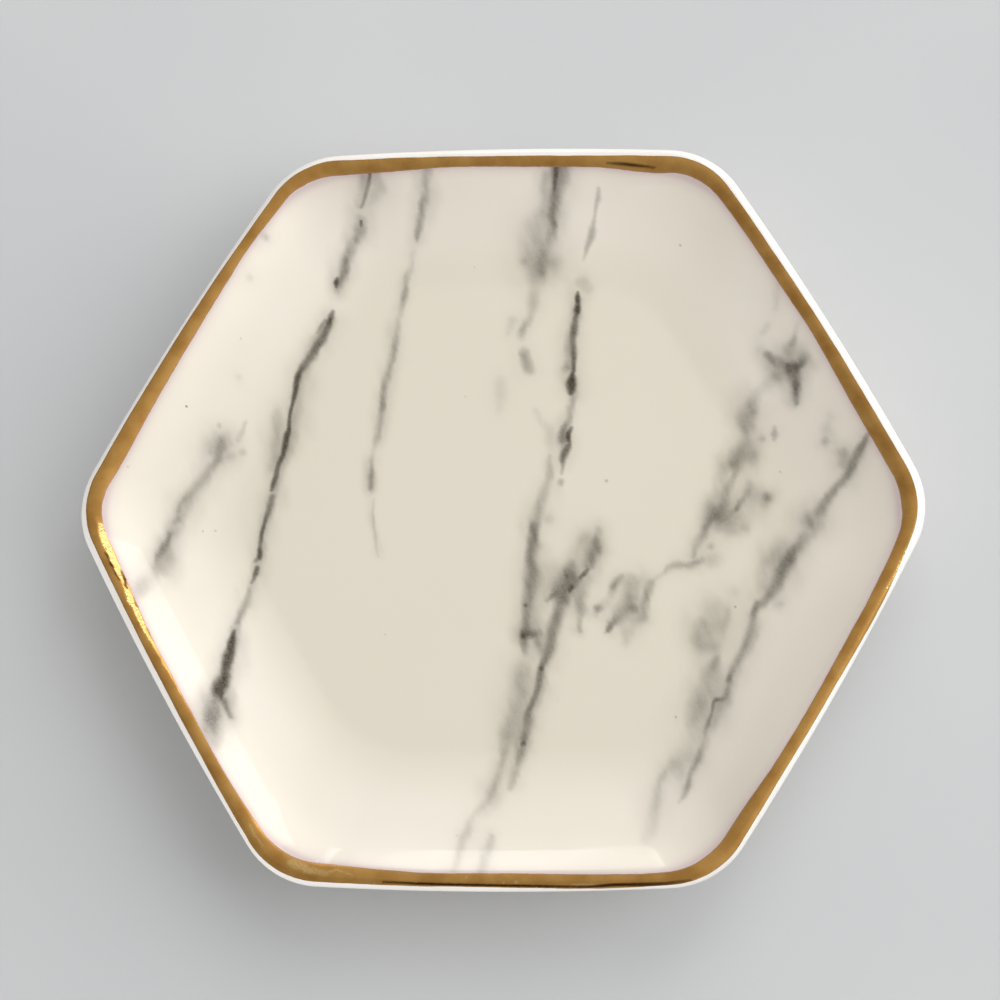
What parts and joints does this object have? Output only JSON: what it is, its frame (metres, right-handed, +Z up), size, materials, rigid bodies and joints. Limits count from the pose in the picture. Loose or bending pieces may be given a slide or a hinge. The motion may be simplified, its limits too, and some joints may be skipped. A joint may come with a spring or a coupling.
{
  "type": "ring dish",
  "caption": "Shallow hexagonal porcelain dish for rings and small jewellery, with a grey-veined marble pattern inside and a gold line on the lip.",
  "frame": {"origin": "on the table, under the middle of the dish", "axes": "+Z up, +X from the middle to a corner, +Y from the middle to the middle of a flat side"},
  "size_m": [0.1278, 0.1156, 0.0131],
  "materials": {
    "bare_porcelain": "unglazed, fine and matt",
    "clear_glaze": "warm white gloss",
    "marble_print": "cream gloss with soft grey and fine black veins",
    "bright_gold": "fired bright gold, polished, a little worn"
  },
  "bodies": {
    "root": {"porcelain_body": "bare_porcelain", "glaze_coat": "clear_glaze", "foot_well_glaze": "clear_glaze", "marble_transfer": "marble_print", "gold_rim_band": "bright_gold"}
  },
  "joints": []
}
